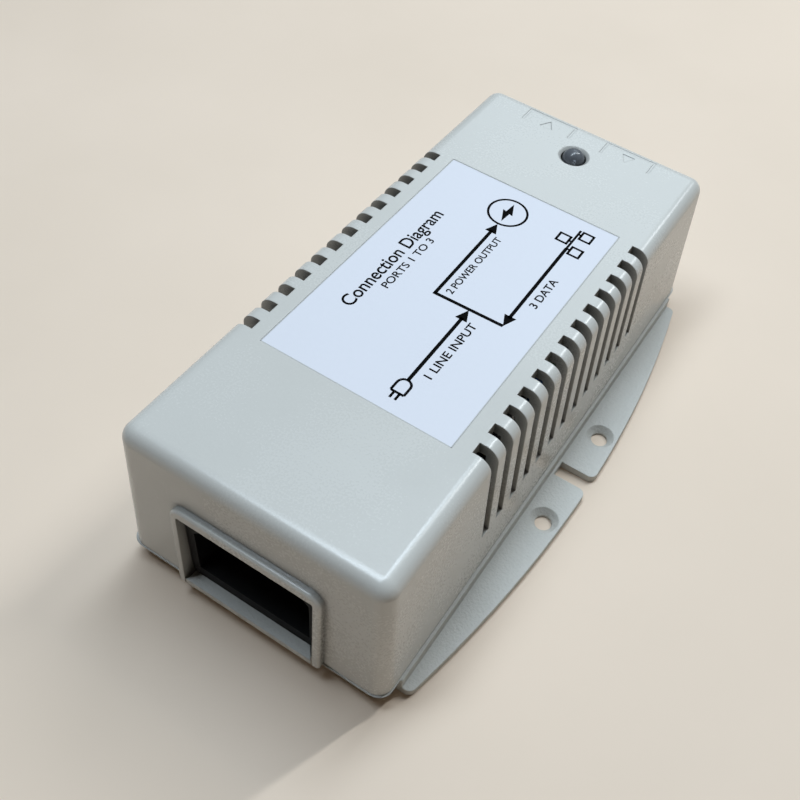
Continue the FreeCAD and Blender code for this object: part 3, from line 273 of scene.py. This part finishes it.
def ink_piece(name, outlines, finish=ink):
    """Mesh of flat outlines raised by the ink's thickness."""
    shape = bmesh.new()
    for outline in outlines:
        shape.faces.new([shape.verts.new(point) for point in outline])
    raised = bmesh.ops.extrude_face_region(shape, geom=list(shape.faces))
    moved = [item for item in raised["geom"] if isinstance(item, bmesh.types.BMVert)]
    bmesh.ops.translate(shape, verts=moved, vec=(0, 0, INK_HIGH))
    add_piece(name, shape, finish)


def stroke(start, end, wide, square_ends=False):
    """Outline of a straight line between two points on the label; square ends reach half a width further."""
    a, b = Vector(start), Vector(end)
    side = Vector((a.y - b.y, b.x - a.x)).normalized() * wide / 2
    if square_ends:
        reach = (b - a).normalized() * wide / 2
        a, b = a - reach, b + reach
    return [on_label(*corner) for corner in (a - side, b - side, b + side, a + side)]


def arrow_head(tip, heading):
    """Triangle that points along heading, a unit vector, with its point at tip."""
    side = Vector((-heading.y, heading.x)) * HEAD_HALF
    point = Vector(tip)
    back = point - heading * HEAD_LONG
    return [on_label(*corner) for corner in (point, back + side, back - side)]


def ring(centre, radius, wide, steps=40):
    """Ring as a run of small quadrilaterals."""
    turn = 2 * math.pi / steps
    inner = radius - wide
    quads = []
    for step in range(steps):
        start, end = step * turn, (step + 1) * turn
        corners = [(radius, start), (radius, end), (inner, end), (inner, start)]
        quads.append([on_label(centre[0] + r * math.cos(a), centre[1] + r * math.sin(a)) for r, a in corners])
    return quads


def frame_square(centre, side, wide):
    """Four strokes around a square, with closed corners."""
    x, y = centre
    half = side / 2
    corners = [(x - half, y - half), (x + half, y - half), (x + half, y + half), (x - half, y + half)]
    return [stroke(corners[i], corners[(i + 1) % 4], wide, True) for i in range(4)]


def lettering(name, text, start, length, high, bold=0.0):
    """Generic wording that runs along +Y with its tops towards -X, fitted to a length in millimetres."""
    curve = bpy.data.curves.new(name, "FONT")
    curve.body = text
    curve.size = high * MM
    curve.offset = bold * MM
    curve.extrude = INK_HIGH / 2
    curve.materials.append(ink)
    piece = bpy.data.objects.new(name, curve)
    bpy.context.collection.objects.link(piece)
    bpy.context.view_layer.update()
    squeeze = length * MM / piece.dimensions.x
    spot = on_label(*start) + Vector((0, 0, INK_HIGH / 2))
    turn = Matrix.Rotation(math.radians(90), 4, "Z")
    piece.matrix_world = Matrix.Translation(spot) @ turn @ Matrix.Diagonal((squeeze, 1.0, 1.0, 1.0))
    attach(piece, "case")


def line_to_head(start, tip, wide):
    """Straight line that ends in an arrow head at tip."""
    heading = (Vector(tip) - Vector(start)).normalized()
    neck = Vector(tip) - heading * HEAD_LONG * HEAD_BARE
    return [stroke(start, neck, wide), arrow_head(tip, heading)]


def plug_outline(steps=12):
    """Plug seen from the side: flat back, rounded nose towards the line, and two prongs."""
    x, y = PLUG
    turn = math.pi / steps
    nose = [(x + PLUG_HALF * math.cos(step * turn), y + PLUG_STRAIGHT + PLUG_HALF * math.sin(step * turn))
            for step in range(steps + 1)]
    path = [(x + PLUG_HALF, y)] + nose + [(x - PLUG_HALF, y), (x + PLUG_HALF, y)]
    sides = [stroke(a, b, THIN) for a, b in zip(path, path[1:])]
    prongs = [stroke((x + side, y), (x + side, y - PRONG_LONG), THIN) for side in (-PRONG_OUT, PRONG_OUT)]
    return sides + prongs


def draw_margin():
    """Thin strip all round the film, which fills the narrow gap between it and its recess."""
    right = (label_high.x - label_low.x) / (2 * MM) + MARGIN / 2
    top = (label_high.y - label_low.y) / (2 * MM) + MARGIN / 2
    corners = [(-right, -top), (right, -top), (right, top), (-right, top)]
    strokes = [stroke(corners[i - 1], corners[i], MARGIN) for i in range(4)]
    ink_piece("label_margin", strokes, clear_film)


def draw_diagram():
    """Plain wiring diagram: mains plug in, data boxes in, power out to a round mark."""
    mains_start = (PLUG[0], PLUG[1] + PLUG_TO_LINE)
    ink_piece("label_mains_line", line_to_head(mains_start, MAINS_TIP, LINE))
    ink_piece("label_plug_mark", plug_outline())
    ink_piece("label_power_line", line_to_head(BUS_LEFT, POWER_TIP, LINE)
              + [stroke((BUS_LEFT[0] - LINE / 2, BUS_LEFT[1]), BUS_RIGHT, LINE)])
    net_x = NET_TOP[0]
    net_start = (net_x, BOXES[2][1])
    ink_piece("label_data_line", line_to_head(net_start, BUS_RIGHT, LINE))
    marks = [quad for centre in BOXES for quad in frame_square(centre, BOX_SIDE, THIN)]
    marks.append(stroke(net_start, NET_TOP, THIN))
    for box_x, box_y in BOXES:
        near = box_x + math.copysign(BOX_SIDE / 2, net_x - box_x)
        marks.append(stroke((near, box_y), (net_x, box_y), THIN))
    ink_piece("label_data_mark", marks)
    middle_x, middle_y = ROUND_MARK
    bolt = [[on_label(middle_x + turned * x, middle_y + turned * y) for x, y in BOLT_HALF]
            for turned in (1, -1)]
    ink_piece("label_round_mark", ring(ROUND_MARK, ROUND_RADIUS, THIN) + bolt)
    lettering("label_title", "Connection Diagram", (-12.0, -16.2), 32.0, 3.95, 0.05)
    lettering("label_subtitle", "PORTS 1 TO 3", (-9.3, -8.3), 16.4, 2.3, 0.03)
    lettering("label_mains_text", "1 LINE INPUT", (9.3, -22.4), 15.7, 2.4, 0.035)
    lettering("label_power_text", "2 POWER OUTPUT", (1.2, -2.2), 18.9, 2.15, 0.035)
    lettering("label_data_text", "3 DATA", (15.9, 4.0), 9.1, 2.35, 0.035)


draw_margin()
draw_diagram()


# ---------------------------------------------------------------------------------------
# Lamp: the die and its cup inside the lens
# ---------------------------------------------------------------------------------------
def revolve(name, profile, foot, steps, finish):
    """Closed body turned from (radius, height) points, in millimetres, about an upright axis through foot."""
    turn = 2 * math.pi / steps
    shape = bmesh.new()
    rows = []
    for radius, height in profile:
        around = [Vector((radius * math.cos(step * turn), radius * math.sin(step * turn), height))
                  for step in range(steps)]
        rows.append([shape.verts.new(foot + point * MM) for point in around])
    for lower, upper in zip(rows, rows[1:]):
        for step in range(steps):
            following = (step + 1) % steps
            shape.faces.new((lower[step], lower[following], upper[following], upper[step]))
    shape.faces.new(rows[0][::-1])
    shape.faces.new(rows[-1])
    for face in shape.faces:
        face.smooth = True
    add_piece(name, shape, finish)


def make_lamp_core():
    """Reflector cup and die inside the lens, standing on the lamp's two posts."""
    low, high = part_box("led_lens")
    foot = Vector(((low.x + high.x) / 2, (low.y + high.y) / 2, low.z))
    cup = [(0.3, 2.6), (0.55, 4.6), (1.0, 5.4), (0.85, 5.4), (0.4, 4.9)]
    die = [(0.28, 4.92), (0.28, 5.15), (0.05, 5.2)]
    revolve("lamp_cup", cup, foot, 28, finishes["tinned_steel"])
    revolve("lamp_die", die, foot, 12, finishes["yellow_box"])


make_lamp_core()


# ---------------------------------------------------------------------------------------
# Stage, light and camera
# ---------------------------------------------------------------------------------------
def make_floor():
    """Plain pale floor in the plane the base rests on."""
    material, tree, shader = new_material("studio_floor")
    patches = add_noise(tree, 14.0, 4.0).outputs["Fac"]
    tone = add_ramp(tree, patches, (0.74, 0.61, 0.495, 1), (0.78, 0.645, 0.53, 1))
    tree.links.new(tone, shader.inputs["Base Color"])
    tree.links.new(add_ramp(tree, patches, grey(0.75), grey(0.85)), shader.inputs["Roughness"])
    shape = bmesh.new()
    bmesh.ops.create_grid(shape, x_segments=8, y_segments=8, size=3.0)
    mesh = bpy.data.meshes.new("floor")
    shape.to_mesh(mesh)
    shape.free()
    floor = bpy.data.objects.new("floor", mesh)
    bpy.context.collection.objects.link(floor)
    mesh.materials.append(material)


def make_light(name, spot, aim, wide, high, watts, colour):
    """Rectangular soft light at spot, turned towards aim."""
    lamp = bpy.data.lights.new(name, "AREA")
    lamp.shape = "RECTANGLE"
    lamp.size, lamp.size_y = wide, high
    lamp.energy = watts
    lamp.color = colour
    holder = bpy.data.objects.new(name, lamp)
    bpy.context.collection.objects.link(holder)
    holder.location = spot
    holder.rotation_mode = "QUATERNION"
    holder.rotation_quaternion = (Vector(aim) - Vector(spot)).to_track_quat("-Z", "Y")


def make_world():
    """Dim warm surroundings."""
    world = bpy.data.worlds.new("studio")
    bpy.context.scene.world = world
    world.use_nodes = True
    background = world.node_tree.nodes["Background"]
    background.inputs["Color"].default_value = (1.0, 0.82, 0.62, 1)
    background.inputs["Strength"].default_value = 0.05


def make_camera():
    """Camera above the inlet end, a little to the right, with the frame turned and shifted."""
    data = bpy.data.cameras.new("camera")
    camera = bpy.data.objects.new("camera", data)
    bpy.context.collection.objects.link(camera)
    data.sensor_width = 36.0
    data.lens = 45.86
    data.shift_x, data.shift_y = -0.0884, -0.0419
    data.clip_start, data.clip_end = 0.01, 20.0
    spot = Vector((0.06179, -0.12183, 0.17425))
    aim = Vector((0.00635, -0.00009, 0.0190))
    look = (aim - spot).to_track_quat("-Z", "Y").to_matrix().to_4x4()
    camera.matrix_world = Matrix.Translation(spot) @ look @ Matrix.Rotation(math.radians(9.06), 4, "Z")
    bpy.context.scene.camera = camera


make_floor()
make_light("key_overhead", (-0.12, 0.07, 0.80), (0, 0.02, 0), 0.74, 0.14, 5.7, (0.76, 0.89, 1.0))
make_light("back_overhead", (-0.25, 1.0, 0.85), (0, 0, 0), 0.6, 0.5, 2.4, (0.80, 0.92, 1.0))
make_light("strip_side_edge", (0.21, 0.51, 0.65), (0.02, 0, 0.03), 0.03, 0.40, 2.6, (0.90, 0.97, 1.0))
make_light("fill_warm", (0.45, -0.60, 0.20), (0.02, 0, 0.02), 0.4, 0.3, 0.10, (1.0, 0.84, 0.68))
make_world()
make_camera()
bpy.context.scene.view_settings.view_transform = "Standard"

bpy.context.view_layer.update()
